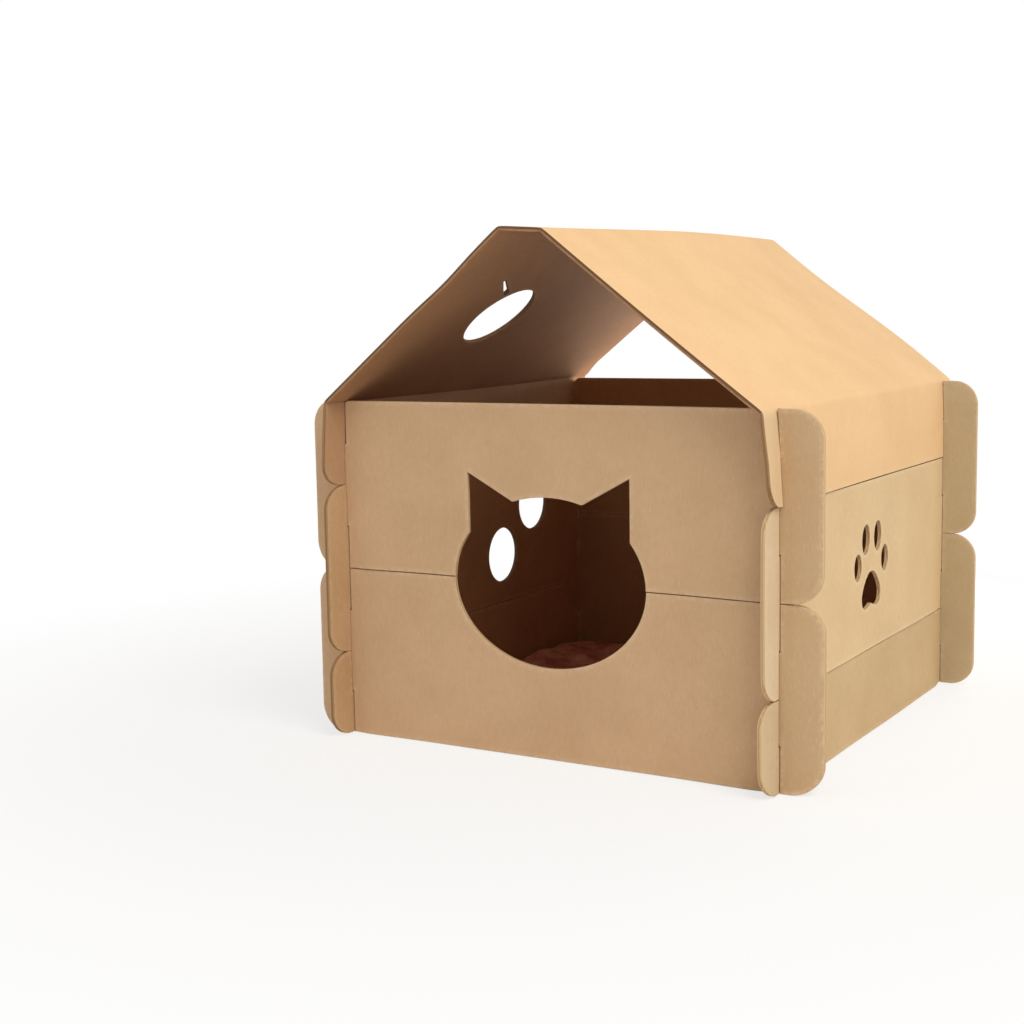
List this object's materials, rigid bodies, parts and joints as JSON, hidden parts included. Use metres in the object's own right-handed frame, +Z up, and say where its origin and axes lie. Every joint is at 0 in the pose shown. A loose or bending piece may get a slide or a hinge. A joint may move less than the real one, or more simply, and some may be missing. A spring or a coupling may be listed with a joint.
{
  "type": "cardboard cat house",
  "caption": "Knock-down corrugated board cat house: slotted log-cabin walls, cat-head door, paw cut-out and play holes, folded lift-off gable roof, and a floor mat.",
  "frame": {"origin": "on the floor under the middle of the house", "axes": "+Z up, the cat-head door faces -Y, the wall with the paw cut-out faces +X"},
  "size_m": [0.474, 0.47, 0.435],
  "materials": {
    "kraft_roof": "matt",
    "kraft_side": "matt",
    "kraft_end": "matt",
    "mat_felt": "matt"
  },
  "bodies": {
    "base_boards": {"side_bottom_right": "kraft_side", "side_bottom_left": "kraft_side", "floor_mat": "mat_felt"},
    "lower_end_walls": {"front_lower": "kraft_end", "back_lower": "kraft_end"},
    "middle_side_boards": {"side_middle_right": "kraft_side", "side_middle_left": "kraft_side"},
    "upper_end_walls": {"front_upper": "kraft_end", "back_upper": "kraft_end"},
    "roof": {"roof_sheet": "kraft_roof"}
  },
  "joints": [
    {"name": "lower_walls_lift", "type": "slide", "parent": "base_boards", "child": "lower_end_walls", "axis": [0, 0, 1], "range_m": [0, 0.08]},
    {"name": "middle_boards_lift", "type": "slide", "parent": "lower_end_walls", "child": "middle_side_boards", "axis": [0, 0, 1], "range_m": [0, 0.08]},
    {"name": "upper_walls_lift", "type": "slide", "parent": "middle_side_boards", "child": "upper_end_walls", "axis": [0, 0, 1], "range_m": [0, 0.08]},
    {"name": "roof_lift", "type": "slide", "parent": "upper_end_walls", "child": "roof", "axis": [0, 0, 1], "range_m": [0, 0.08]}
  ]
}
